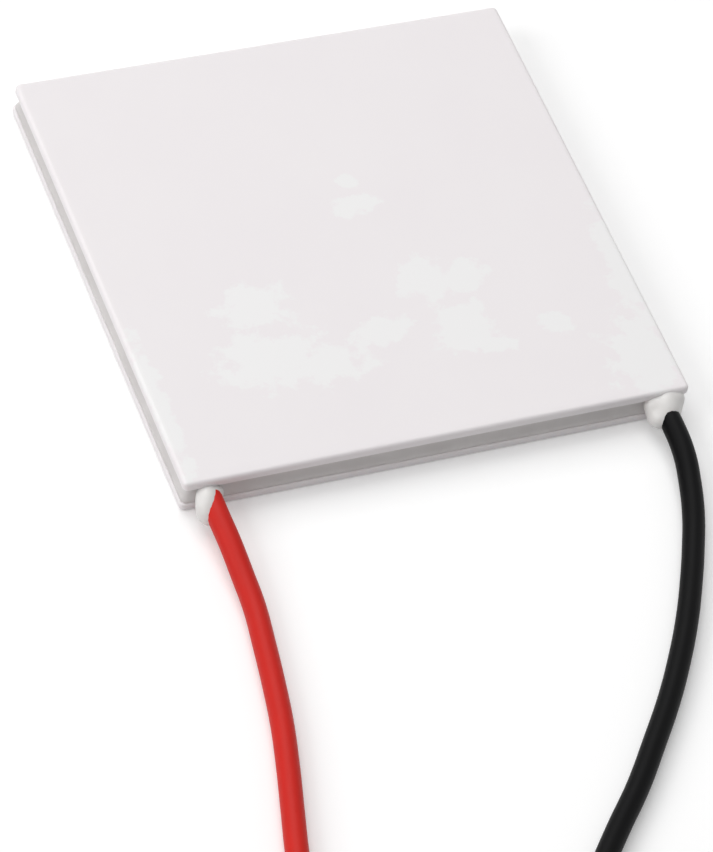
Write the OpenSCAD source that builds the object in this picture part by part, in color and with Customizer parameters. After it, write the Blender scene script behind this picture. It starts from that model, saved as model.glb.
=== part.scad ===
// Thermoelectric cooling module. Two square ceramic plates hold a grid of
// semiconductor pellets between them. Copper tabs on the plates' inner faces
// join the pellets into one series circuit that winds from the red lead's
// terminal to the black lead's. A seal closes the edge, and a bead of sealant
// holds each lead where it leaves.
//
// Millimetres, +Z up. The module lies on its hot plate, the origin is the
// centre of that plate's underside, and the leads leave towards -Y.

/* [Plates] */
// Side of each square ceramic plate
plate_w = 40; // [36:0.5:46]
// Thickness of each ceramic plate
plate_t = 0.75; // [0.5:0.05:1.2]
// Radius of the plates' upright corners
plate_corner_r = 0.4; // [0.2:0.1:0.8]
// Width of the broken edge round each face of a plate
plate_arris = 0.1; // [0.05:0.05:0.2]

/* [Pellets and tabs] */
// Side of each square pellet
pellet_w = 1.4; // [1:0.1:1.7]
// Height of each pellet
pellet_h = 1; // [0.9:0.1:2.4]
// Places along each side of the grid
grid_n = 16; // [10:2:18]
// Bare margin between the plates' edges and the outermost tabs
grid_margin = 1.25; // [1.1:0.05:1.6]
// Thickness of the copper tabs
tab_t = 0.3; // [0.2:0.05:0.5]
// How far a tab reaches past its pellets on every side
tab_lap = 0.05; // [0.02:0.01:0.12]
// Radius of the tabs' corners
tab_corner_r = 0.2; // [0.1:0.05:0.4]

/* [Edge seal] */
// Setback of the seal from the plates' edges
seal_setback = 0.1; // [0.05:0.05:0.25]
// Width of the seal from its outer face to its inner one
seal_w = 0.9; // [0.6:0.05:1]
// Depth of the hollow along the seal's outer face
seal_hollow = 0.3; // [0.1:0.05:0.4]
// Radius of the hollow's section
seal_hollow_r = 1.2; // [0.8:0.1:2]
// Drop of the hollow's deepest line below the cold plate
seal_hollow_drop = 0.5; // [0.3:0.05:0.8]

/* [Leads] */
// Outside diameter of a lead's insulation
lead_d = 1.7; // [1.4:0.1:2]
// Diameter of a lead's stranded conductor
core_d = 1.1; // [0.8:0.1:1.2]
// Length of each lead from the plates' edge to its tinned tip
lead_l = 300; // [270:5:310]
// Gap between the plates' edge and the end of the insulation
insulation_gap = 0.1; // [0.05:0.05:0.3]
// Reach of the bared conductor inwards from the plates' edge
core_reach = 3; // [2.4:0.1:3.4]
// Length of the solder joint along the conductor
joint_l = 1.6; // [1:0.1:1.6]
// Thickness of the solder under the conductor
solder_t = 0.05; // [0.02:0.01:0.05]
// Length of the stripped and tinned end
tinned_l = 6; // [4:0.5:10]

/* [Coiled length] */
// Diameter of a coil at the middle of its turns
coil_d = 17; // [16:0.5:20]
// Length of insulated lead that leaves the coil and lies beside it
tail_l = 15; // [12:1:20]
// Gap between a coil and the tail beside it
tail_gap = 0.1; // [0.05:0.05:0.3]

/* [Hidden] */
STRIPS = 8;

$fn = 48;

// Heights, from the table upwards
gap_h = pellet_h + 2 * tab_t;
cold_z = plate_t + gap_h;
pellet_z = plate_t + tab_t;

// The grid
tab_w = pellet_w + 2 * tab_lap;
pitch = (plate_w - 2 * grid_margin - tab_w) / (grid_n - 1);
places = grid_n * grid_n;

// The seal
seal_outer = plate_w / 2 - seal_setback;
seal_inner = seal_outer - seal_w;

// The leads' exits, where the insulation ends in front of the plates
lead_r = lead_d / 2;
core_r = core_d / 2;
exit_y = -plate_w / 2 - insulation_gap;
exit_z = pellet_z + solder_t + core_r;
red_exit = [spot(0).x, exit_y, exit_z];
black_exit = [spot(places - 1).x, exit_y, exit_z];

// Each lead's route from its exit to its coil. A point is its distance to the
// right of the exit, its distance behind it, and the share of the drop from
// the exit's height down to the table.
red_route = [
    [0, 0, 0], [0, -2, 0], [0.1, -4.4, 0.25], [0.15, -7, 0.7], [0.1, -9.8, 0.95],
    [-0.3, -13, 1], [-0.8, -16.4, 1], [-1.4, -19.8, 1], [-2.2, -23.2, 1], [-3.1, -26.6, 1],
    [-4, -30, 1], [-4.8, -33.4, 1], [-5.5, -36.8, 1], [-5.9, -40.2, 1], [-6, -43, 1]
];
black_route = [
    [0, 0, 0], [0, -2, 0], [-0.1, -4.4, 0.25], [-0.6, -7, 0.7], [-1.4, -9.6, 0.95],
    [-2.6, -12.4, 1], [-4, -15.3, 1], [-5.6, -18.3, 1], [-7.5, -21.4, 1], [-9.7, -24.6, 1],
    [-12.2, -27.8, 1], [-14.8, -31, 1], [-17.6, -34, 1], [-20.3, -37.1, 1], [-22.7, -40.3, 1],
    [-24.5, -43.5, 1], [-25.6, -47, 1], [-26, -50.4, 1], [-26, -52, 1]
];

// A coil holds three turns on the table and two on top, in their grooves.
upper_z = lead_r + lead_d * sin(60);
outer_turn_r = coil_d / 2 + lead_d;
inner_turn_r = coil_d / 2 - lead_d;
top_outer_r = coil_d / 2 + lead_r;
top_inner_r = coil_d / 2 - lead_r;
beside_r = outer_turn_r + lead_d + tail_gap;
tail_steps = 8;
tail_drop_share = 0.7;
// How deep the tubes' ends reach into a coil, which then cuts them off
sunk_depth = 0.2;

// ---------------------------------------------------------------- helpers

// A rectangle from the origin to size, with rounded corners.
module rounded_rect(size, r) {
    translate([r, 0]) square([size.x - 2 * r, size.y]);
    translate([0, r]) square([size.x, size.y - 2 * r]);
    for (x = [r, size.x - r], y = [r, size.y - r])
        translate([x, y]) circle(r);
}

module rounded_square(side, r) {
    translate([-side / 2, -side / 2]) rounded_rect([side, side], r);
}

function unit(v) = v / norm(v);
function smooth(t) = t * t * (3 - 2 * t);
function run_of(route) =
    len(route) < 2 ? 0 : norm(route[1] - route[0]) + run_of([for (i = [1:len(route) - 1]) route[i]]);

// ----------------------------------------------------------------- plates

// One plate, lying on z = 0.
module ceramic_plate() {
    half = plate_w / 2;
    intersection() {
        linear_extrude(plate_t) rounded_square(plate_w, plate_corner_r);
        intersection_for (turn = [0, 90])
            rotate([90, 0, turn])
                linear_extrude(2 * plate_w, center = true)
                    polygon([
                        [-half + plate_arris, 0], [half - plate_arris, 0],
                        [half, plate_arris], [half, plate_t - plate_arris],
                        [half - plate_arris, plate_t], [-half + plate_arris, plate_t],
                        [-half, plate_t - plate_arris], [-half, plate_arris]
                    ]);
    }
}

module hot_plate() {
    color("whitesmoke") ceramic_plate();
}

module cold_plate() {
    color("whitesmoke") translate([0, 0, cold_z]) ceramic_plate();
}

// -------------------------------------------------------------- the grid

// The places of the grid are counted along one winding path, up the first
// column, down the second, and so on. The first place and the last hold no
// pellet: the leads' terminals are there.
function column_of(i) = floor(i / grid_n);
function row_of(i) = column_of(i) % 2 == 0 ? i % grid_n : grid_n - 1 - i % grid_n;
function from_centre(k) = (k - (grid_n - 1) / 2) * pitch;
function spot(i) = [from_centre(column_of(i)), from_centre(row_of(i))];
function strip_of(i) = floor(column_of(i) * STRIPS / grid_n) + 1;

// The pellets of one strip, of every second place from the given first one.
module pellets(strip, first) {
    for (i = [first:2:places - 2])
        if (strip_of(i) == strip)
            translate([spot(i).x - pellet_w / 2, spot(i).y - pellet_w / 2, pellet_z])
                cube([pellet_w, pellet_w, pellet_h]);
}

// One copper tab over a place and the next one, its underside at z.
module tab(i, z) {
    low = [min(spot(i).x, spot(i + 1).x), min(spot(i).y, spot(i + 1).y)];
    high = [max(spot(i).x, spot(i + 1).x), max(spot(i).y, spot(i + 1).y)];
    translate([low.x - tab_w / 2, low.y - tab_w / 2, z])
        linear_extrude(tab_t)
            rounded_rect(high - low + [tab_w, tab_w], tab_corner_r);
}

// The current enters each N pellet from below and each P pellet from above,
// so the upper plate is the one that cools.
module n_pellets(strip) {
    color("dimgray") pellets(strip, 1);
}

module p_pellets(strip) {
    color("slategray") pellets(strip, 2);
}

module hot_tabs(strip) {
    color("peru")
        for (i = [2:2:places - 4])
            if (strip_of(i) == strip) tab(i, plate_t);
}

module cold_tabs(strip) {
    color("peru")
        for (i = [1:2:places - 3])
            if (strip_of(i) == strip) tab(i, cold_z - tab_t);
}

// -------------------------------------------------------------- terminals

module red_terminal_tab() {
    color("peru") tab(0, plate_t);
}

module black_terminal_tab() {
    color("peru") tab(places - 2, plate_t);
}

// The bared conductor, from the end of the insulation to over its tab.
module conductor(exit) {
    translate(exit) rotate([-90, 0, 0]) cylinder(d = core_d, h = core_reach + insulation_gap);
}

module red_conductor() {
    color("silver") conductor(red_exit);
}

module black_conductor() {
    color("silver") conductor(black_exit);
}

// Solder that has run under the conductor and up both its sides from its tab.
module solder_joint(exit) {
    top = solder_t + core_r;
    top_w = core_d + 2 * solder_t;
    difference() {
        translate([exit.x, from_centre(0), pellet_z])
            rotate([90, 0, 0])
                linear_extrude(joint_l, center = true)
                    polygon([[-tab_w / 2, 0], [tab_w / 2, 0], [top_w / 2, top], [-top_w / 2, top]]);
        conductor(exit);
    }
}

module red_solder_joint() {
    color("lightgray") solder_joint(red_exit);
}

module black_solder_joint() {
    color("lightgray") solder_joint(black_exit);
}

// -------------------------------------------------------------- edge seal

// A band between the plates, hollowed along each side where the sealant drew
// back as it set. The two conductors pass through its front side.
module edge_seal() {
    color("gainsboro") difference() {
        translate([0, 0, plate_t])
            linear_extrude(gap_h) difference() {
                rounded_square(2 * seal_outer, plate_corner_r);
                rounded_square(2 * seal_inner, plate_corner_r);
            }
        for (turn = [0:90:270])
            rotate([0, 0, turn])
                translate([0, -seal_outer - seal_hollow_r + seal_hollow, cold_z - seal_hollow_drop])
                    rotate([0, 90, 0])
                        cylinder(r = seal_hollow_r, h = 2 * plate_w, center = true);
        conductor(red_exit);
        conductor(black_exit);
    }
}

// ------------------------------------------------------------------ leads

// A tube swept along a route, with one ring of eight points, square to the
// route, at each of the route's points.
module swept_tube(route) {
    sides = 8;
    last = len(route) - 1;
    function ahead(i) = unit(route[min(i + 1, last)] - route[max(i - 1, 0)]);
    function beside(i) = unit(cross(ahead(i), [0, 0, 1]));
    function above(i) = cross(beside(i), ahead(i));
    corners = [for (i = [0:last], s = [0:sides - 1])
        route[i] + lead_r * (cos((s + 0.5) * 360 / sides) * beside(i)
                           + sin((s + 0.5) * 360 / sides) * above(i))];
    walls = [for (i = [0:last - 1], s = [0:sides - 1])
        let (t = (s + 1) % sides)
        [i * sides + s, i * sides + t, (i + 1) * sides + t, (i + 1) * sides + s]];
    caps = [[for (s = [sides - 1:-1:0]) s], [for (s = [0:sides - 1]) last * sides + s]];
    polyhedron(corners, concat(caps, walls));
}

function placed(exit, route) =
    [for (p = route) [exit.x + p.x, exit.y + p.y, exit.z + p.z * (lead_r - exit.z)]];

// A coil lies beside the end of its lead's route, to the side that the sign
// gives: the red lead turns clockwise into its coil, the black one the other
// way. Angles count from the X axis.
function coil_at(route, side) = [route[len(route) - 1].x + side * outer_turn_r, route[len(route) - 1].y];
red_placed = placed(red_exit, red_route);
black_placed = placed(black_exit, black_route);
red_coil_at = coil_at(red_placed, -1);
black_coil_at = coil_at(black_placed, 1);

// The angle through which a lead is wound before its tail leaves the coil.
function wound(route) = 360 * (lead_l - run_of(route) - tail_l - tinned_l) / (PI * coil_d);

// The tail's centre line, from the upper outer turn down to the table. It
// follows the coil round on the outside.
function tail(centre, side, route) =
    let (turn = 360 * tail_l / (2 * PI * beside_r))
    [for (k = [0:tail_steps])
        let (
            share = k / tail_steps,
            out = smooth(min(1, share / tail_drop_share)),
            r = top_outer_r + out * (beside_r - top_outer_r),
            a = (side > 0 ? 180 : 0) + side * (wound(route) + share * turn)
        )
        [centre.x + r * cos(a), centre.y + r * sin(a), upper_z + out * (lead_r - upper_z)]];
red_tail = tail(red_coil_at, -1, red_placed);
black_tail = tail(black_coil_at, 1, black_placed);

// The outline round a coil's five turns, in section.
module coil_section() {
    slope = [cos(30), sin(30)];
    for (r = [inner_turn_r, outer_turn_r]) translate([r, lead_r]) circle(lead_r);
    for (r = [top_inner_r, top_outer_r]) translate([r, upper_z]) circle(lead_r);
    polygon([
        [inner_turn_r, 0], [outer_turn_r, 0],
        [outer_turn_r, lead_r] + lead_r * slope, [top_outer_r, upper_z] + lead_r * slope,
        [top_outer_r, upper_z + lead_r], [top_inner_r, upper_z + lead_r],
        [top_inner_r - lead_r * slope.x, upper_z + lead_r * slope.y],
        [inner_turn_r - lead_r * slope.x, lead_r + lead_r * slope.y]
    ]);
}

module coil(centre) {
    translate(centre) rotate_extrude($fn = 96) coil_section();
}

// The point p of a route, moved towards the middle of the coil's section.
function sunk(p, centre) =
    let (inward = unit(centre - [p.x, p.y]))
    p + sunk_depth * [inward.x, inward.y, p.z < lead_d ? 1 : -1];

// The stretch of a lead that runs to its coil, and the one that leaves it.
module run_in(route, centre) {
    last = len(route) - 1;
    difference() {
        swept_tube([for (i = [0:last]) i < last ? route[i] : sunk(route[i], centre)]);
        coil(centre);
    }
}

module run_out(route, centre) {
    difference() {
        swept_tube([for (i = [0:len(route) - 1]) i > 0 ? route[i] : sunk(route[i], centre)]);
        coil(centre);
    }
}

module red_lead() {
    color("firebrick") run_in(red_placed, red_coil_at);
}

module black_lead() {
    color("black") run_in(black_placed, black_coil_at);
}

module red_lead_coil() {
    color("firebrick") coil(red_coil_at);
}

module black_lead_coil() {
    color("black") coil(black_coil_at);
}

module red_lead_tail() {
    color("firebrick") run_out(red_tail, red_coil_at);
}

module black_lead_tail() {
    color("black") run_out(black_tail, black_coil_at);
}

// The stripped and tinned end, straight on from the end of the tail.
module tinned_end(tail) {
    tip = tail[tail_steps];
    ahead = tip - tail[tail_steps - 1];
    translate(tip)
        rotate([0, 90, atan2(ahead.y, ahead.x)])
            cylinder(d = core_d, h = tinned_l);
}

module red_tinned_end() {
    color("silver") tinned_end(red_tail);
}

module black_tinned_end() {
    color("silver") tinned_end(black_tail);
}

// ------------------------------------------------------------------ beads

// A bead of sealant: drops that have run together, each given as its centre,
// counted from the lead's exit, and its radius. A plug of the same sealant
// fills the gap between the plates from the insulation's end to the seal.
module bead(exit, drops, plug_w) {
    plug_l = insulation_gap + seal_setback + seal_hollow;
    difference() {
        union() {
            translate(exit)
                hull()
                    for (drop = drops) translate([drop[0], drop[1], drop[2]]) sphere(drop[3], $fn = 32);
            translate([exit.x - plug_w / 2, exit.y, plate_t]) cube([plug_w, plug_l, gap_h]);
        }
        hot_plate();
        cold_plate();
        edge_seal();
        conductor(exit);
        children();
    }
}

module red_lead_bead() {
    color("white")
        bead(red_exit, [[-0.4, -0.1, 0, 0.75], [-0.85, -0.9, -0.25, 0.8], [-0.7, -1.7, -0.55, 0.55]], 2.2)
            swept_tube(red_placed);
}

module black_lead_bead() {
    color("white")
        bead(black_exit, [
            [1.15, 0.2, 0.5, 0.7], [-0.6, 0.2, 0.45, 0.65], [-0.5, -0.7, -0.55, 0.8],
            [0, -0.8, 0.2, 0.9], [0.7, -0.3, -0.3, 0.8]
        ], 2.6)
            swept_tube(black_placed);
}

// --------------------------------------------------------------- assembly

hot_plate();
cold_plate();
edge_seal();
red_terminal_tab();
black_terminal_tab();
red_conductor();
black_conductor();
red_solder_joint();
black_solder_joint();
red_lead_bead();
black_lead_bead();
red_lead();
black_lead();
red_lead_coil();
black_lead_coil();
red_lead_tail();
black_lead_tail();
red_tinned_end();
black_tinned_end();
for (s = [1:STRIPS]) {
    n_pellets(s);
    p_pellets(s);
    hot_tabs(s);
    cold_tabs(s);
}
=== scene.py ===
"""The looks of a thermoelectric cooling module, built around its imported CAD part."""
import math

import bpy
from mathutils import Matrix, Vector, noise


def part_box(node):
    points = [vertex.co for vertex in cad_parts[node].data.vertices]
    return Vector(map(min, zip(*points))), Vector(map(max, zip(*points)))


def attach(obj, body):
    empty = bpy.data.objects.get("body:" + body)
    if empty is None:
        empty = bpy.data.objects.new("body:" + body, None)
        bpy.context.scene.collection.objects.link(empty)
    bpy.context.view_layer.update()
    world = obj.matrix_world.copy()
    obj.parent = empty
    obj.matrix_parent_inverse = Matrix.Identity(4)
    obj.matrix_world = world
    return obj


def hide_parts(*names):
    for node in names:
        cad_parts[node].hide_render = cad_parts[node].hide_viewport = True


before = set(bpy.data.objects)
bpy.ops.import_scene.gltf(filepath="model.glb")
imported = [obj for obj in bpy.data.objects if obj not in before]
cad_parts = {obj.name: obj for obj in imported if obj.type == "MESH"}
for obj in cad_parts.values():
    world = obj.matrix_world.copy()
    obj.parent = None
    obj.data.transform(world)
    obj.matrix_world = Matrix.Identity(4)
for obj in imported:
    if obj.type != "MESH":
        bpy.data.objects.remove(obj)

scene = bpy.context.scene
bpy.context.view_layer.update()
MM = 0.001

# ---------------------------------------------------------------- studio
# The module lies on a white table, in a white room. A large soft lamp hangs high behind it, so
# that its front side faces away from the light. A second one stands to its left and a third hangs
# overhead.
aim = Vector((-5.92, -17.68, 3.1)) * MM
camera_distance = 335.75 * MM
bearing = math.radians(31.0)
dip = math.radians(49.86)
roll = math.radians(13.72)

camera = bpy.data.objects.new("camera", bpy.data.cameras.new("camera"))
camera.data.lens = 195.27
camera.data.clip_start = 0.01
camera.matrix_world = (
    Matrix.Translation(aim)
    @ Matrix.Rotation(-bearing, 4, "Z")
    @ Matrix.Rotation(math.pi / 2 - dip, 4, "X")
    @ Matrix.Rotation(roll, 4, "Z")
    @ Matrix.Translation((0, 0, camera_distance))
)
scene.collection.objects.link(camera)
scene.camera = camera
scene.view_settings.view_transform = "Standard"


def linear(hex_colour):
    """An sRGB colour such as #EDE8EA as the linear RGBA that Blender works in."""
    channels = [int(hex_colour[i:i + 2], 16) / 255 for i in (1, 3, 5)]
    return [c / 12.92 if c <= 0.04045 else ((c + 0.055) / 1.055) ** 2.4 for c in channels] + [1]


def set_inputs(tree, node, inputs):
    """Sets inputs, by name or number, to values, to outputs, or to other nodes' first outputs."""
    for name, value in inputs.items():
        if isinstance(value, bpy.types.Node):
            value = value.outputs[0]
        if isinstance(value, bpy.types.NodeSocket):
            tree.links.new(value, node.inputs[name])
        else:
            node.inputs[name].default_value = value


def add(tree, kind, inputs=None, **settings):
    """Adds a node with these settings and inputs."""
    made = tree.nodes.new(kind)
    for name, value in settings.items():
        setattr(made, name, value)
    set_inputs(tree, made, inputs or {})
    return made


def hang_lamp(name, away, side, power):
    """A square lamp that looks at the module from the place `away`, in metres."""
    lamp = bpy.data.objects.new(name, bpy.data.lights.new(name, "AREA"))
    lamp.data.size = side
    lamp.data.energy = power
    turned = Vector(away).to_track_quat("Z", "Y").to_matrix().to_4x4()
    lamp.matrix_world = Matrix.Translation(away) @ turned
    scene.collection.objects.link(lamp)


hang_lamp("key_lamp", (-0.10, 0.50, 0.80), 0.8, 4.8)
hang_lamp("left_lamp", (-0.80, 0.05, 0.56), 0.5, 3.3)
hang_lamp("overhead_lamp", (0.0, -0.10, 1.0), 0.8, 1.2)


def seen_directly(tree):
    """1 for what the camera sees, by itself or in a gloss or through something clear, else 0."""
    ray = add(tree, "ShaderNodeLightPath").outputs
    seen = add(tree, "ShaderNodeMath", {0: ray["Is Camera Ray"], 1: ray["Is Glossy Ray"]})
    return add(tree, "ShaderNodeMath", {0: seen, 1: ray["Is Transmission Ray"]}, use_clamp=True)


# The room lights the module from all round with a weak white, and is itself seen as plain white.
room_light = 0.3
scene.world = bpy.data.worlds.new("room")
scene.world.use_nodes = True
tree = scene.world.node_tree
tree.nodes.clear()
strength = add(tree, "ShaderNodeMapRange", {
    "Value": seen_directly(tree), "To Min": room_light, "To Max": 1.0,
})
white_room = add(tree, "ShaderNodeBackground", {"Color": (1, 1, 1, 1), "Strength": strength})
add(tree, "ShaderNodeOutputWorld", {"Surface": white_room})

table = bpy.data.objects.new("table", bpy.data.meshes.new("table"))
table_side = 4.0
corners = [Vector((x, y, 0)) * table_side / 2 for x, y in ((-1, -1), (1, -1), (1, 1), (-1, 1))]
table.data.from_pydata(corners, [], [(0, 1, 2, 3)])
scene.collection.objects.link(table)

# White laminate: matt, and seen a little brighter than its own white, so that it runs into the
# room's white and still shows the module's shadow.
seen_lift = 0.19
laminate = bpy.data.materials.new("white_laminate")
laminate.use_nodes = True
tree = laminate.node_tree
tree.nodes.clear()
lift = add(tree, "ShaderNodeMath", {0: seen_directly(tree), 1: seen_lift}, operation="MULTIPLY")
matt = add(tree, "ShaderNodeBsdfDiffuse", {"Color": linear("#F2F2F2")})
glow = add(tree, "ShaderNodeEmission", {"Color": (1, 1, 1, 1), "Strength": lift})
surface = add(tree, "ShaderNodeAddShader", {0: matt, 1: glow})
add(tree, "ShaderNodeOutputMaterial", {"Surface": surface})
table.data.materials.append(laminate)

# ---------------------------------------------------------------- plates
# Two squares of as-fired alumina, laser-scribed and snapped from a sheet, their edges eased by
# tumbling. The lower one is the hot side and carries the terminals; the upper one is the cold side.


def new_material(name):
    """A material with nothing in its tree but a principled shader."""
    material = bpy.data.materials.new(name)
    material.use_nodes = True
    material.node_tree.nodes.clear()
    shader = add(material.node_tree, "ShaderNodeBsdfPrincipled")
    add(material.node_tree, "ShaderNodeOutputMaterial", {"Surface": shader})
    return material, material.node_tree, shader


def in_mm(tree):
    """The place on the object, counted in millimetres."""
    place = add(tree, "ShaderNodeTexCoord").outputs["Object"]
    return add(tree, "ShaderNodeVectorMath", {0: place, "Scale": 1 / MM}, operation="SCALE").outputs[0]


def rounded_square(half, corner, per_corner, per_side=1):
    """The points of a square with rounded corners round the origin, counter-clockwise."""
    points = []
    for quarter in range(4):
        turn = Matrix.Rotation(math.radians(90 * quarter), 2)
        for step in range(per_corner + 1):
            angle = math.radians(90 * step / per_corner)
            points.append(turn @ Vector((
                half - corner + corner * math.cos(angle),
                half - corner + corner * math.sin(angle),
            )))
        for step in range(1, per_side):
            points.append(turn @ Vector((half - corner - 2 * (half - corner) * step / per_side, half)))
    return points


def loft(name, rings, closed=False):
    """A smooth mesh through rings of as many points each, capped, or closed on itself."""
    size = len(rings[0])
    faces = []
    for k in range(len(rings) if closed else len(rings) - 1):
        a, b = k * size, (k + 1) % len(rings) * size
        faces += [(a + i, a + (i + 1) % size, b + (i + 1) % size, b + i) for i in range(size)]
    if not closed:
        faces += [tuple(reversed(range(size))), tuple(range((len(rings) - 1) * size, len(rings) * size))]
    mesh = bpy.data.meshes.new(name)
    mesh.from_pydata([point for ring in rings for point in ring], [], faces)
    mesh.shade_smooth()
    made = bpy.data.objects.new(name, mesh)
    scene.collection.objects.link(made)
    return made


def ceramic_plate(node):
    """A plate in a CAD plate's place, with its edges rounded instead of cut."""
    low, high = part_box(node)
    half = high.x
    corner = 0.4 * MM
    outer_edge = 0.3 * MM
    inner_edge = 0.12 * MM
    arc_steps = 6
    flat_rim = 0.5 * MM
    least_corner = 0.05 * MM
    corner_steps = 6
    lower, upper = (inner_edge, outer_edge) if node == "cold_plate" else (outer_edge, inner_edge)
    profile = [(flat_rim, low.z)]
    for turn, edge, middle in ((0, lower, low.z + lower), (90, upper, high.z - upper)):
        for step in range(arc_steps + 1):
            angle = math.radians(turn - 90 + 90 * step / arc_steps)
            profile.append((edge * (1 - math.cos(angle)), middle + edge * math.sin(angle)))
    profile.append((flat_rim, high.z))
    rings = []
    for inset, z in profile:
        outline = rounded_square(half - inset, max(corner - inset, least_corner), corner_steps)
        rings.append([(point.x, point.y, z) for point in outline])
    return loft(node + "_ceramic", rings)


# Alumina, 96 percent, as fired: a dense, slightly pink white, matt with a faint silk. It clouds
# weakly over several millimetres, and thin pale films with ragged edges lie where something has
# dried on the cold face. Its grain is far finer than drawn here, where it only breaks the gloss.
cloud_width = 8.33
ragged_width = 1.82
raggedness = 2.6
grain_width = 0.1667
grain_depth = 0.004 * MM
film_depth = 0.5
face_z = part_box("cold_plate")[1].z / MM
# Each film is its middle, and half its width and depth, in mm.
film_places = (
    (-9.6, -5.3, 3.4, 2.2), (-9.8, -10.3, 4.6, 3.0), (-6.0, -11.8, 3.6, 2.0), (3.9, -5.4, 2.2, 2.4),
    (7.3, -5.9, 1.9, 1.7), (5.2, -10.4, 2.6, 2.8), (-0.4, -9.6, 2.6, 1.6), (1.2, 2.5, 1.9, 1.1),
    (1.7, 5.0, 0.9, 0.8), (12.3, -12.0, 1.4, 1.4), (7.2, -12.9, 1.6, 1.0), (17.6, -16.6, 3.2, 3.6),
    (19.6, -8.0, 1.6, 7.0), (-19.4, -12.0, 1.0, 7.0),
)
alumina, tree, shader = new_material("fired_alumina")
place = in_mm(tree)
nearest = 9.0
for x, y, half_long, half_wide in film_places:
    offset = add(tree, "ShaderNodeVectorMath", {0: place, 1: (x, y, face_z)}, operation="SUBTRACT")
    share = add(tree, "ShaderNodeVectorMath", {
        0: offset, 1: (half_long, half_wide, film_depth),
    }, operation="DIVIDE")
    reach = add(tree, "ShaderNodeVectorMath", {0: share}, operation="LENGTH")
    nearest = add(tree, "ShaderNodeMath", {
        0: nearest, 1: reach.outputs["Value"],
    }, operation="MINIMUM")
tatters = add(tree, "ShaderNodeTexNoise", {
    "Vector": place, "Scale": 1 / ragged_width, "Detail": 5.0, "Roughness": 0.65,
})
ragged = add(tree, "ShaderNodeMath", {
    0: tatters, 1: raggedness, 2: -raggedness / 2,
}, operation="MULTIPLY_ADD")
outline = add(tree, "ShaderNodeMath", {0: nearest, 1: ragged}, operation="ADD")
film = add(tree, "ShaderNodeMapRange", {"Value": outline, "From Min": 1.0, "From Max": 0.75})
cloud = add(tree, "ShaderNodeTexNoise", {"Vector": place, "Scale": 1 / cloud_width, "Detail": 3.0})
body = add(tree, "ShaderNodeMix", {
    0: cloud, 6: linear("#EBE6E8"), 7: linear("#EEEAEB"),
}, data_type="RGBA")
colour = add(tree, "ShaderNodeMix", {
    0: film, 6: body.outputs[2], 7: linear("#EEEDED"),
}, data_type="RGBA")
grain = add(tree, "ShaderNodeTexNoise", {"Vector": place, "Scale": 1 / grain_width, "Detail": 4.0})
bump = add(tree, "ShaderNodeBump", {"Height": grain, "Strength": 0.12, "Distance": grain_depth})
gloss = add(tree, "ShaderNodeMapRange", {"Value": film, "To Min": 0.52, "To Max": 0.44})
set_inputs(tree, shader, {
    "Base Color": colour.outputs[2], "Roughness": gloss, "Normal": bump, "IOR": 1.5,
})

for node in ("hot_plate", "cold_plate"):
    plate = ceramic_plate(node)
    plate.data.materials.append(alumina)
    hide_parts(node)
    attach(plate, "root")

# ---------------------------------------------------------------- edge seal
# A band of neutral-cure silicone, run into the gap all the way round and wiped back with a round
# tool, so that its face is hollow and a little uneven.
seal_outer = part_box("edge_seal")[1].x / MM
seal_w = 0.9
seal_low, seal_high = (corner.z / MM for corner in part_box("edge_seal"))
hollow_r = 1.2
hollow_depth = 0.3
hollow_z = seal_high - 0.5
profile_steps = 12
corner = 0.4
corner_steps = 4
side_steps = 90
# The wiping leaves long waves and short lumps, counted to the millimetre, and mostly cuts in.
unevenness = 0.05
waves = Vector((0.45, 0.45, 0.8))
lumps = Vector((1.7, 1.7, 1.3))
lump_share = 0.5
cut_in = 0.6

profile = []
for step in range(profile_steps + 1):
    z = seal_low + (seal_high - seal_low) * step / profile_steps
    across = hollow_r ** 2 - (z - hollow_z) ** 2
    cut = math.sqrt(max(0, across)) - (hollow_r - hollow_depth)
    profile.append((seal_outer - max(0, cut), z, unevenness))
profile += [(seal_outer - seal_w, seal_high, 0), (seal_outer - seal_w, seal_low, 0)]
rings = []
for half, z, free in profile:
    ring = []
    for point in rounded_square(half, corner, corner_steps, side_steps):
        spot = Vector((point.x, point.y, z))
        wave = noise.noise(spot * waves)
        lump = noise.noise(spot * lumps + Vector((0, 0, 5)))
        wobble = free * (wave + lump_share * lump - cut_in)
        ring.append(Vector((*(point * (1 + wobble / half)), z)) * MM)
    rings.append(ring)
seal = loft("wiped_edge_seal", rings, closed=True)

# Silicone, cured off-white: rubbery and dull, with smears and low ridges from the wiping that make
# it read as soft between the two hard plates.
smear_width = 2.0
ridge_width = 0.4
ridge_depth = 0.04 * MM
silicone, tree, shader = new_material("wiped_silicone")
place = in_mm(tree)
smear = add(tree, "ShaderNodeTexNoise", {"Vector": place, "Scale": 1 / smear_width, "Detail": 4.0})
body = add(tree, "ShaderNodeMix", {
    0: smear, 6: linear("#C8C4C3"), 7: linear("#DCD9D8"),
}, data_type="RGBA")
ridges = add(tree, "ShaderNodeTexNoise", {"Vector": place, "Scale": 1 / ridge_width, "Detail": 3.0})
bump = add(tree, "ShaderNodeBump", {"Height": ridges, "Strength": 0.4, "Distance": ridge_depth})
gloss = add(tree, "ShaderNodeMapRange", {"Value": smear, "To Min": 0.5, "To Max": 0.68})
set_inputs(tree, shader, {"Base Color": body.outputs[2], "Roughness": gloss, "Normal": bump})
seal.data.materials.append(silicone)
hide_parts("edge_seal")
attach(seal, "root")

# ---------------------------------------------------------------- tabs, terminals and pellets
# Copper tabs are bonded to the plates' inner faces and join 254 sawn pellets of bismuth telluride
# into one winding circuit. Two longer tabs are the terminals, where the leads' bared strands are
# soldered down. All of it is closed in, so the CAD solids stay and get their metals here.


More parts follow.
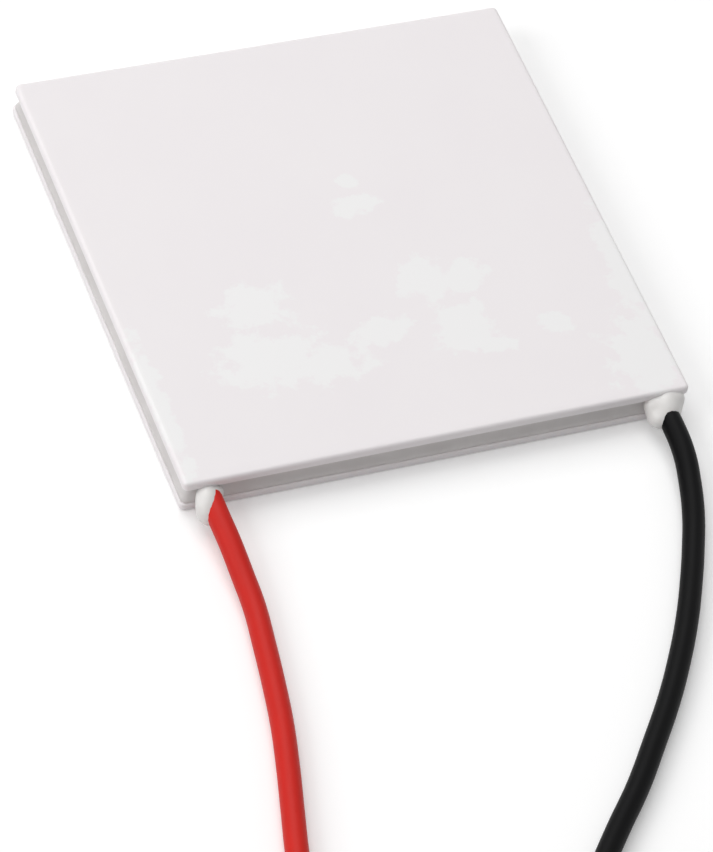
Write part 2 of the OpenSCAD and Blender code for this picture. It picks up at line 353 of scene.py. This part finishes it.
def plain_metal(name, dark, light, grain_width, dull, bright):
    """A metal whose colour and polish wander with one grain, whose width is in millimetres."""
    grain_depth = 0.01 * MM
    material, tree, shader = new_material(name)
    grain = add(tree, "ShaderNodeTexNoise", {
        "Vector": in_mm(tree), "Scale": 1 / grain_width, "Detail": 4.0,
    })
    body = add(tree, "ShaderNodeMix", {0: grain, 6: linear(dark), 7: linear(light)}, data_type="RGBA")
    gloss = add(tree, "ShaderNodeMapRange", {"Value": grain, "To Min": dull, "To Max": bright})
    bump = add(tree, "ShaderNodeBump", {"Height": grain, "Strength": 0.3, "Distance": grain_depth})
    set_inputs(tree, shader, {
        "Base Color": body.outputs[2], "Roughness": gloss, "Normal": bump, "Metallic": 1.0,
    })
    return material


def dress(node, material):
    """Gives a CAD solid its material."""
    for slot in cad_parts[node].material_slots:
        slot.material = material


# Copper, etched to shape: a warm, slightly tarnished pink. Solder: bright grey with dull crusts.
# Tinned strands: soft silver. Telluride, sawn: dark grey where it is n-type, and paler and bluer
# where it is p-type. The marks of the saw are finer than drawn here.
etched_copper = plain_metal("etched_copper", "#C07B5B", "#DA9674", 0.556, 0.45, 0.28)
bright_solder = plain_metal("bright_solder", "#ADADAB", "#D2D2CF", 0.333, 0.42, 0.2)
tinned_core = plain_metal("tinned_core", "#B5B3AD", "#D3D1CA", 0.25, 0.4, 0.25)
sawn_n = plain_metal("sawn_n_telluride", "#85878A", "#9B9DA1", 0.167, 0.5, 0.34)
sawn_p = plain_metal("sawn_p_telluride", "#9698A0", "#ADB0B8", 0.167, 0.46, 0.3)
strip_count = 8

for colour in ("red", "black"):
    dress(colour + "_terminal_tab", etched_copper)
    dress(colour + "_solder_joint", bright_solder)
    dress(colour + "_conductor", tinned_core)
for strip in range(1, strip_count + 1):
    dress(f"hot_tabs_{strip}", etched_copper)
    dress(f"cold_tabs_{strip}", etched_copper)
    dress(f"n_pellets_{strip}", sawn_n)
    dress(f"p_pellets_{strip}", sawn_p)

# ---------------------------------------------------------------- leads
# Two stranded copper wires in PVC, red to the positive terminal and black to the negative one.
# Each leaves the front edge, lies on the table and is wound up in a small coil.
lead_d = 1.7
lead_r = lead_d / 2
lead_l = 300
core_d = 1.1
tinned_l = 6
tail_l = 15
tail_gap = 0.1
coil_d = 17

# Each point is its distance to the right of the exit, its distance behind it, and the share of
# the drop from the exit's height down to the table.
red_route = (
    (0, 0, 0), (0, -2, 0), (0.1, -4.4, 0.25), (0.15, -7, 0.7), (0.1, -9.8, 0.95),
    (-0.3, -13, 1), (-0.8, -16.4, 1), (-1.4, -19.8, 1), (-2.2, -23.2, 1), (-3.1, -26.6, 1),
    (-4, -30, 1), (-4.8, -33.4, 1), (-5.5, -36.8, 1), (-5.9, -40.2, 1), (-6, -43, 1),
)
black_route = (
    (0, 0, 0), (0, -2, 0), (-0.1, -4.4, 0.25), (-0.6, -7, 0.7), (-1.4, -9.6, 0.95),
    (-2.6, -12.4, 1), (-4, -15.3, 1), (-5.6, -18.3, 1), (-7.5, -21.4, 1), (-9.7, -24.6, 1),
    (-12.2, -27.8, 1), (-14.8, -31, 1), (-17.6, -34, 1), (-20.3, -37.1, 1), (-22.7, -40.3, 1),
    (-24.5, -43.5, 1), (-25.6, -47, 1), (-26, -50.4, 1), (-26, -52, 1),
)

# A coil's turns: outer, middle and inner on the table, then two more in the grooves on top.
outer_turn_r = coil_d / 2 + lead_d
inner_turn_r = coil_d / 2 - lead_d
top_inner_r = coil_d / 2 - lead_r
top_outer_r = coil_d / 2 + lead_r
beside_r = outer_turn_r + lead_d + tail_gap
turn_radii = (outer_turn_r, coil_d / 2, inner_turn_r, top_inner_r, top_outer_r)
shift_angle = 40
coil_step = 12
tail_steps = 8
tail_drop_share = 0.7


def lead_exit(colour):
    """The middle of the bared conductor's front end, in mm, where the insulation begins."""
    low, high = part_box(colour + "_conductor")
    return Vector(((low.x + high.x) / 2, low.y, (low.z + high.z) / 2)) / MM


def smooth(t):
    """A step from 0 to 1 that starts and ends gently."""
    t = min(1, max(0, t))
    return t * t * (3 - 2 * t)


def turn_radius(wound, turn_angle):
    """The radius of the coil where the lead has been wound through this angle."""
    radius = turn_radii[0]
    for k in range(1, len(turn_radii)):
        shifted = smooth((wound - k * turn_angle) / shift_angle)
        radius += shifted * (turn_radii[k] - turn_radii[k - 1])
    return radius


def resting_height(wound, radius, turn_angle):
    """The height of the centre line on the table, or in the grooves of the turns beneath."""
    touching = 0.01
    height = lead_r
    below = wound - 360
    while below >= 0:
        below_r = turn_radius(below, turn_angle)
        apart = abs(radius - below_r)
        if apart < lead_d - touching:
            under = resting_height(below, below_r, turn_angle)
            height = max(height, under + math.sqrt(lead_d ** 2 - apart ** 2))
        below -= 360
    return height


def lead_path(exit, route, side):
    """The centre line, in mm: the route, the coil to the side that the sign gives, the tail."""
    points = [exit + Vector((x, y, drop * (lead_r - exit.z))) for x, y, drop in route]
    run = sum((b - a).length for a, b in zip(points, points[1:]))
    wound = 360 * (lead_l - run - tail_l - tinned_l) / (math.pi * coil_d)
    turn_angle = wound / len(turn_radii)
    centre = points[-1] + Vector((side * outer_turn_r, 0, 0))
    tail_turn = 360 * tail_l / (2 * math.pi * beside_r)
    coil_steps = round(wound / coil_step)
    stations = []
    for k in range(1, coil_steps + 1):
        angle = wound * k / coil_steps
        stations.append((angle, turn_radius(angle, turn_angle)))
    for k in range(1, tail_steps + 1):
        out = smooth(k / tail_steps / tail_drop_share)
        radius = top_outer_r + out * (beside_r - top_outer_r)
        stations.append((wound + tail_turn * k / tail_steps, radius))
    start = 180 if side > 0 else 0
    for angle, radius in stations:
        at = math.radians(start + side * angle)
        height = resting_height(angle, radius, turn_angle)
        points.append(Vector((
            centre.x + radius * math.cos(at), centre.y + radius * math.sin(at), height,
        )))
    return points


def insulated_lead(name, points):
    """The insulation as a round cord along these points, with its cut end's edge rounded."""
    cut_edge = ((0, 0.72), (0.08, 0.90), (0.25, 1.0))
    curve = bpy.data.curves.new(name, "CURVE")
    curve.dimensions = "3D"
    curve.bevel_depth = lead_r * MM
    curve.bevel_resolution = 6
    curve.resolution_u = 6
    curve.use_fill_caps = True
    first, second = points[0], points[1]
    ahead = (second - first).normalized()
    stations = [(first + ahead * along, share) for along, share in cut_edge]
    stations += [(point, 1.0) for point in points[1:]]
    spline = curve.splines.new("BEZIER")
    spline.bezier_points.add(len(stations) - 1)
    for knot, (point, share) in zip(spline.bezier_points, stations):
        knot.co = point * MM
        knot.radius = share
        knot.handle_left_type = "AUTO"
        knot.handle_right_type = "AUTO"
    made = bpy.data.objects.new(name, curve)
    scene.collection.objects.link(made)
    return made


# PVC, extruded over the strands and coloured through: satin, with a colour that drifts a little
# along it and a weak orange-peel that breaks up its gloss.
drift_width = 2.86
peel_width = 0.455
peel_depth = 0.02 * MM


def extruded_pvc(name, colour, deep_colour, sheen):
    """The insulation's plastic in this colour, with this much of plain plastic's gloss."""
    material, tree, shader = new_material(name)
    place = in_mm(tree)
    drift = add(tree, "ShaderNodeTexNoise", {"Vector": place, "Scale": 1 / drift_width, "Detail": 3.0})
    body = add(tree, "ShaderNodeMix", {
        0: drift, 6: linear(deep_colour), 7: linear(colour),
    }, data_type="RGBA")
    peel = add(tree, "ShaderNodeTexNoise", {"Vector": place, "Scale": 1 / peel_width, "Detail": 2.0})
    bump = add(tree, "ShaderNodeBump", {"Height": peel, "Strength": 0.25, "Distance": peel_depth})
    gloss = add(tree, "ShaderNodeMapRange", {"Value": drift, "To Min": 0.40, "To Max": 0.52})
    set_inputs(tree, shader, {
        "Base Color": body.outputs[2], "Roughness": gloss, "Normal": bump,
        "IOR": 1.53, "Specular IOR Level": sheen,
    })
    return material


red_pvc = extruded_pvc("red_pvc_insulation", "#CE251C", "#C0221A", 0.16)
black_pvc = extruded_pvc("black_pvc_insulation", "#070708", "#050506", 0.07)

# ---------------------------------------------------------------- tinned ends
# At each lead's far end 6 mm of insulation is stripped off and the strands are twisted and dipped
# in solder.
strand_count = 7
strand_stations = 25
strand_sides = 10
strand_lay = 14


def tree_with(name, sizes):
    """An empty geometry tree with these named numbers and a material, and its two ends."""
    tree = bpy.data.node_groups.new(name, "GeometryNodeTree")
    for size in sizes:
        tree.interface.new_socket(name=size, in_out="INPUT", socket_type="NodeSocketFloat")
    tree.interface.new_socket(name="Finish", in_out="INPUT", socket_type="NodeSocketMaterial")
    tree.interface.new_socket(name="Shape", in_out="OUTPUT", socket_type="NodeSocketGeometry")
    return tree, add(tree, "NodeGroupInput").outputs


def end_tree(tree, shape, finish):
    """Ends a tree as plain geometry with its material."""
    smoothed = add(tree, "GeometryNodeSetShadeSmooth", {"Geometry": shape})
    plain = add(tree, "GeometryNodeRealizeInstances", {"Geometry": smoothed})
    done = add(tree, "GeometryNodeSetMaterial", {"Geometry": plain, "Material": finish})
    add(tree, "NodeGroupOutput", {0: done})


def grown(name, tree, values):
    """The plain mesh that a tree makes from these values, as an object at the origin."""
    made = bpy.data.objects.new(name, bpy.data.meshes.new(name))
    scene.collection.objects.link(made)
    modifier = made.modifiers.new("tree", "NODES")
    modifier.node_group = tree
    for socket in tree.interface.items_tree:
        if socket.in_out == "INPUT":
            modifier[socket.identifier] = values[socket.name]
    evaluated = made.evaluated_get(bpy.context.evaluated_depsgraph_get())
    mesh = bpy.data.meshes.new_from_object(evaluated)
    mesh.materials.clear()
    mesh.materials.append(values["Finish"])
    made.modifiers.remove(modifier)
    made.data = mesh
    return made


# One straight strand in the middle, and the others round it in a helix.
tree, sizes = tree_with("twisted_strands", ("Bundle Radius", "Strand Radius", "Length", "Lay"))
strands_tree = tree
tip = add(tree, "ShaderNodeCombineXYZ", {"X": sizes["Length"]})
line = add(tree, "GeometryNodeCurvePrimitiveLine", {"End": tip})
fine = add(tree, "GeometryNodeResampleCurve", {"Curve": line, "Count": strand_stations})
copies = add(tree, "GeometryNodeDuplicateElements", {
    "Geometry": fine, "Amount": strand_count,
}, domain="SPLINE")
number = copies.outputs["Duplicate Index"]
spot = add(tree, "GeometryNodeInputPosition")
along = add(tree, "ShaderNodeSeparateXYZ", {0: spot}).outputs["X"]
phase = add(tree, "ShaderNodeMath", {
    0: number, 1: math.tau / (strand_count - 1),
}, operation="MULTIPLY")
turns = add(tree, "ShaderNodeMath", {0: along, 1: sizes["Lay"]}, operation="DIVIDE")
angle = add(tree, "ShaderNodeMath", {0: turns, 1: math.tau, 2: phase}, operation="MULTIPLY_ADD")
free = add(tree, "ShaderNodeMath", {
    0: sizes["Bundle Radius"], 1: sizes["Strand Radius"],
}, operation="SUBTRACT")
outside = add(tree, "ShaderNodeMath", {0: number, 1: 0.5}, operation="GREATER_THAN")
reach = add(tree, "ShaderNodeMath", {0: free, 1: outside}, operation="MULTIPLY")
cosine = add(tree, "ShaderNodeMath", {0: angle}, operation="COSINE")
sine = add(tree, "ShaderNodeMath", {0: angle}, operation="SINE")
y = add(tree, "ShaderNodeMath", {0: cosine, 1: reach}, operation="MULTIPLY")
z = add(tree, "ShaderNodeMath", {0: sine, 1: reach}, operation="MULTIPLY")
twisted = add(tree, "ShaderNodeCombineXYZ", {"X": along, "Y": y, "Z": z})
placed = add(tree, "GeometryNodeSetPosition", {"Geometry": copies, "Position": twisted})
section = add(tree, "GeometryNodeCurvePrimitiveCircle", {
    "Resolution": strand_sides, "Radius": sizes["Strand Radius"],
})
wires = add(tree, "GeometryNodeCurveToMesh", {
    "Curve": placed, "Profile Curve": section, "Fill Caps": True,
})
end_tree(tree, wires, sizes["Finish"])

# Tinned copper: a soft silver with the solder's slight unevenness along the strands.
ripple_width = 0.333
ripple_depth = 0.03 * MM
tinned, tree, shader = new_material("tinned_copper_strand")
ripple = add(tree, "ShaderNodeTexNoise", {
    "Vector": in_mm(tree), "Scale": 1 / ripple_width, "Detail": 3.0,
})
colour = add(tree, "ShaderNodeMix", {
    0: ripple, 6: linear("#BDBBB6"), 7: linear("#D8D6D0"),
}, data_type="RGBA")
gloss = add(tree, "ShaderNodeMapRange", {"Value": ripple, "To Min": 0.22, "To Max": 0.42})
bump = add(tree, "ShaderNodeBump", {"Height": ripple, "Strength": 0.3, "Distance": ripple_depth})
set_inputs(tree, shader, {
    "Base Color": colour.outputs[2], "Roughness": gloss, "Normal": bump, "Metallic": 1.0,
})


def tinned_end(name, points):
    """The twisted strands, straight on from the end of a lead's insulation."""
    made = grown(name, strands_tree, {
        "Bundle Radius": core_d / 2 * MM, "Strand Radius": core_d / 6 * MM,
        "Length": tinned_l * MM, "Lay": strand_lay * MM, "Finish": tinned,
    })
    ahead = points[-1] - points[-2]
    heading = math.atan2(ahead.y, ahead.x)
    made.data.transform(Matrix.Translation(points[-1] * MM) @ Matrix.Rotation(heading, 4, "Z"))
    return made


# ---------------------------------------------------------------- lead beads
# A bead of clear-white silicone is run over each lead where it comes out of the gap. It wets the
# lead, the plates' edges and the seal, and sags towards the table before it cures.
bead_low = (-3.2, -2.9, -1.66)
bead_high = (3.2, 0.9, 1.6)
bead_cells = (160, 95, 82)
wetting = 0.22
sunk = 0.09
drop_blend = 0.7
off_table = 0.02

# Each drop is its centre's place from the lead's exit, and its radius.
red_drops = (
    (-0.2, 0.0, 0.15, 0.7), (-0.38, -0.5, 0.2, 0.74), (-0.52, -1.0, 0.08, 0.76),
    (-0.62, -1.4, -0.15, 0.68), (-0.63, -1.75, -0.42, 0.5), (0.5, 0.05, 0.0, 0.6),
)
black_drops = (
    (0.95, 0.15, 0.35, 0.75), (0.2, -0.05, 0.45, 0.82), (-0.75, 0.0, 0.2, 0.8),
    (-0.6, -0.75, -0.25, 0.85), (0.1, -0.65, 0.15, 0.92), (0.6, -0.3, -0.3, 0.78),
    (-0.62, -1.2, -0.05, 0.6),
)


def sealant_bead(name, exit, drops, finish):
    """The bead as the skin of a field: drops run together and drawn onto what they touch."""
    tree, sizes = tree_with(name, ("Wetting", "Exit X", "Exit Y", "Exit Z"))
    spot = add(tree, "GeometryNodeInputPosition")
    x, y, z = add(tree, "ShaderNodeSeparateXYZ", {0: spot}).outputs

    # The liquid: each drop's distance, blended into that of the drops before it.
    liquid = None
    for *centre, radius in drops:
        away = add(tree, "ShaderNodeVectorMath", {0: spot, 1: centre}, operation="DISTANCE")
        drop = add(tree, "ShaderNodeMath", {
            0: away.outputs["Value"], 1: radius,
        }, operation="SUBTRACT")
        if liquid is not None:
            drop = add(tree, "ShaderNodeMath", {
                0: liquid, 1: drop, 2: drop_blend,
            }, operation="SMOOTH_MIN")
        liquid = drop

    # What it wets: the round lead in front of the exit, and the two plates behind their edges.
    across = add(tree, "ShaderNodeVectorMath", {0: spot, 1: (1, 0, 1)}, operation="MULTIPLY")
    from_axis = add(tree, "ShaderNodeVectorMath", {0: across}, operation="LENGTH")
    in_round = add(tree, "ShaderNodeMath", {
        0: from_axis.outputs["Value"], 1: lead_r,
    }, operation="SUBTRACT")
    solid = add(tree, "ShaderNodeMath", {0: in_round, 1: y}, operation="MAXIMUM")
    for node in ("hot_plate", "cold_plate"):
        low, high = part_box(node)
        middle = (low.z + high.z) / 2 / MM - exit.z
        half_thick = (high.z - low.z) / 2 / MM
        edge_y = low.y / MM - exit.y
        height = add(tree, "ShaderNodeMath", {0: z, 1: middle}, operation="SUBTRACT")
        off_middle = add(tree, "ShaderNodeMath", {0: height}, operation="ABSOLUTE")
        in_slab = add(tree, "ShaderNodeMath", {0: off_middle, 1: half_thick}, operation="SUBTRACT")
        in_front = add(tree, "ShaderNodeMath", {0: edge_y, 1: y}, operation="SUBTRACT")
        in_plate = add(tree, "ShaderNodeMath", {0: in_slab, 1: in_front}, operation="MAXIMUM")
        solid = add(tree, "ShaderNodeMath", {0: solid, 1: in_plate}, operation="MINIMUM")

    # The skin: the liquid creeps a little way along the solids, and stops above the table.
    under_face = add(tree, "ShaderNodeMath", {0: solid, 1: sunk}, operation="ADD")
    crept = add(tree, "ShaderNodeMath", {
        0: liquid, 1: under_face, 2: sizes["Wetting"],
    }, operation="SMOOTH_MIN")
    near = add(tree, "ShaderNodeMath", {0: liquid, 1: sizes["Wetting"]}, operation="SUBTRACT")
    skin = add(tree, "ShaderNodeMath", {0: crept, 1: near}, operation="MAXIMUM")
    below = add(tree, "ShaderNodeMath", {0: off_table - exit.z, 1: z}, operation="SUBTRACT")
    skin = add(tree, "ShaderNodeMath", {0: skin, 1: below}, operation="MAXIMUM")
    density = add(tree, "ShaderNodeMath", {0: skin, 1: -1.0}, operation="MULTIPLY")
    block = add(tree, "GeometryNodeVolumeCube", {
        "Density": density, "Background": -1.0, "Min": bead_low, "Max": bead_high,
        "Resolution X": bead_cells[0], "Resolution Y": bead_cells[1], "Resolution Z": bead_cells[2],
    })
    hull = add(tree, "GeometryNodeVolumeToMesh", {"Volume": block, "Threshold": 0.0})
    root = add(tree, "ShaderNodeCombineXYZ", {
        "X": sizes["Exit X"], "Y": sizes["Exit Y"], "Z": sizes["Exit Z"],
    })
    placed = add(tree, "GeometryNodeTransform", {
        "Geometry": hull, "Translation": root, "Scale": (MM, MM, MM),
    })
    end_tree(tree, placed, sizes["Finish"])
    return grown(name, tree, {
        "Wetting": wetting, "Exit X": exit.x * MM, "Exit Y": exit.y * MM, "Exit Z": exit.z * MM,
        "Finish": finish,
    })


# Silicone, cured clear-white: smooth and wet-looking, with light that goes a little way in.
milk_width = 1.43
light_depth = 0.6 * MM
bead_silicone, tree, shader = new_material("cured_bead_silicone")
milky = add(tree, "ShaderNodeTexNoise", {
    "Vector": in_mm(tree), "Scale": 1 / milk_width, "Detail": 2.0,
})
body = add(tree, "ShaderNodeMix", {
    0: milky, 6: linear("#D8D6D4"), 7: linear("#E6E4E2"),
}, data_type="RGBA")
gloss = add(tree, "ShaderNodeMapRange", {"Value": milky, "To Min": 0.3, "To Max": 0.42})
set_inputs(tree, shader, {
    "Base Color": body.outputs[2], "Roughness": gloss, "IOR": 1.41,
    "Subsurface Weight": 0.25, "Subsurface Radius": (1.0, 0.9, 0.85), "Subsurface Scale": light_depth,
})

# ---------------------------------------------------------------- the two leads, fitted
# Each lead is stripped and tinned at its far end, soldered down at its near one and sealed in with
# its bead. From the exit on it is a limp cord with a bare end, wound up beside the module.
for colour, route, side, finish, drops in (
    ("red", red_route, -1, red_pvc, red_drops),
    ("black", black_route, 1, black_pvc, black_drops),
):
    exit = lead_exit(colour)
    bead = sealant_bead(colour + "_silicone_bead", exit, drops, bead_silicone)
    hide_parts(colour + "_lead_bead")
    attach(bead, "root")
    points = lead_path(exit, route, side)
    end = tinned_end(colour + "_stripped_strands", points)
    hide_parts(colour + "_tinned_end")
    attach(end, "root")
    lead = insulated_lead(colour + "_insulated_lead", points)
    lead.data.materials.append(finish)
    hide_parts(colour + "_lead", colour + "_lead_coil", colour + "_lead_tail")
    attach(lead, "root")
